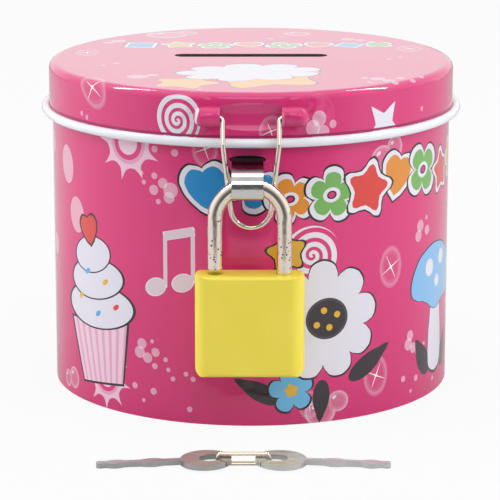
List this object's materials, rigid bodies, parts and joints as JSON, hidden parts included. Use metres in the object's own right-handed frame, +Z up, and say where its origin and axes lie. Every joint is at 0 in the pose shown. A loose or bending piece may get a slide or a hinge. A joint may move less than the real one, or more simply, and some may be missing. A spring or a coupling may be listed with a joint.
{
  "type": "tin money box",
  "caption": "Round tin money box: hinged slip lid with a coin slot, wire hasp over a staple, small jacketed padlock and linked keys.",
  "frame": {"origin": "centre of the tin's rest face, on the tin's axis", "axes": "+Z up along the tin's axis, -Y towards the front with the padlock, +X to the right of someone facing the front"},
  "size_m": [0.1038, 0.1402, 0.08],
  "materials": {
    "pink_tinplate": "glossy printed",
    "bare_tinplate": "plain tin",
    "chromed_strap": "bright",
    "nickel_wire": "bright nickel",
    "yellow_jacket": "satin",
    "zinc_core": "plain",
    "dark_key": "stamped",
    "light_key": "stamped"
  },
  "bodies": {
    "tin": {"body_wall": "pink_tinplate", "bottom_plate": "bare_tinplate", "staple": "chromed_strap", "hinge_leaf_body": "chromed_strap", "rivet_body_left": "bare_tinplate", "rivet_body_right": "bare_tinplate", "hinge_pin": "nickel_wire"},
    "lid": {"lid_shell": "pink_tinplate", "hinge_leaf_lid": "chromed_strap", "rivet_lid_left": "bare_tinplate", "rivet_lid_right": "bare_tinplate"},
    "hasp": {"hasp_wire": "nickel_wire"},
    "shackle_body": {"shackle": "nickel_wire"},
    "lock_seat": {"spring_seat": "zinc_core"},
    "lock_case": {"lock_jacket": "yellow_jacket", "lock_core": "zinc_core", "shackle_spring": "nickel_wire", "retaining_pin": "nickel_wire", "latch_spring": "nickel_wire"},
    "latch": {"latch_bolt": "zinc_core"},
    "plug": {"key_plug": "zinc_core"},
    "key_set": {"key_link": "nickel_wire"},
    "left_key": {"key_left": "dark_key"},
    "right_key": {"key_right": "light_key"}
  },
  "joints": [
    {"name": "lid_hinge", "type": "hinge", "parent": "tin", "child": "lid", "pos_m": [0, 0.0537, 0.0695], "axis": [-1, 0, 0], "range_deg": [0, 100]},
    {"name": "hasp_swing", "type": "hinge", "parent": "lid", "child": "hasp", "pos_m": [0, -0.0503, 0.0745], "axis": [-1, 0, 0], "range_deg": [0, 130.01]},
    {"name": "padlock_off", "type": "slide", "parent": "tin", "child": "shackle_body", "axis": [0, -0.9763, -0.2162], "range_m": [0, 0.06761]},
    {"name": "case_swivel", "type": "hinge", "parent": "shackle_body", "child": "lock_seat", "pos_m": [0.0077, -0.05585, 0.02542], "axis": [0, 0, 1], "range_deg": [0, 180]},
    {"name": "case_slide", "type": "slide", "parent": "lock_seat", "child": "lock_case", "axis": [0, 0, 1], "range_m": [0, 0.0052], "deforming": ["shackle_spring"]},
    {"name": "key_turn", "type": "hinge", "parent": "lock_case", "child": "plug", "pos_m": [-0.0003, -0.05585, 0.01492], "axis": [0, 0, -1], "range_deg": [0, 90.01]},
    {"name": "latch_draw", "type": "slide", "parent": "lock_case", "child": "latch", "axis": [-1, 0, 0], "range_m": [0, 0.0013], "deforming": ["latch_spring"]},
    {"name": "keys_lift", "type": "slide", "parent": "tin", "child": "key_set", "axis": [0, 0, 1], "range_m": [0, 0.06]},
    {"name": "key_left_turn", "type": "hinge", "parent": "key_set", "child": "left_key", "pos_m": [-0.007, -0.079, 0.0015], "axis": [0, 0, 1], "range_deg": [-15, 15]},
    {"name": "key_right_turn", "type": "hinge", "parent": "key_set", "child": "right_key", "pos_m": [0.0036, -0.079, 0.0015], "axis": [0, 0, -1], "range_deg": [-15, 15]}
  ],
  "couplings": [
    {"joint": "hasp_swing", "follows": "lid_hinge", "ratio": 1.3},
    {"joint": "padlock_off", "follows": "lid_hinge", "m_per_rad": 0.038732},
    {"joint": "key_turn", "follows": "latch_draw", "rad_per_m": 1208.3}
  ]
}
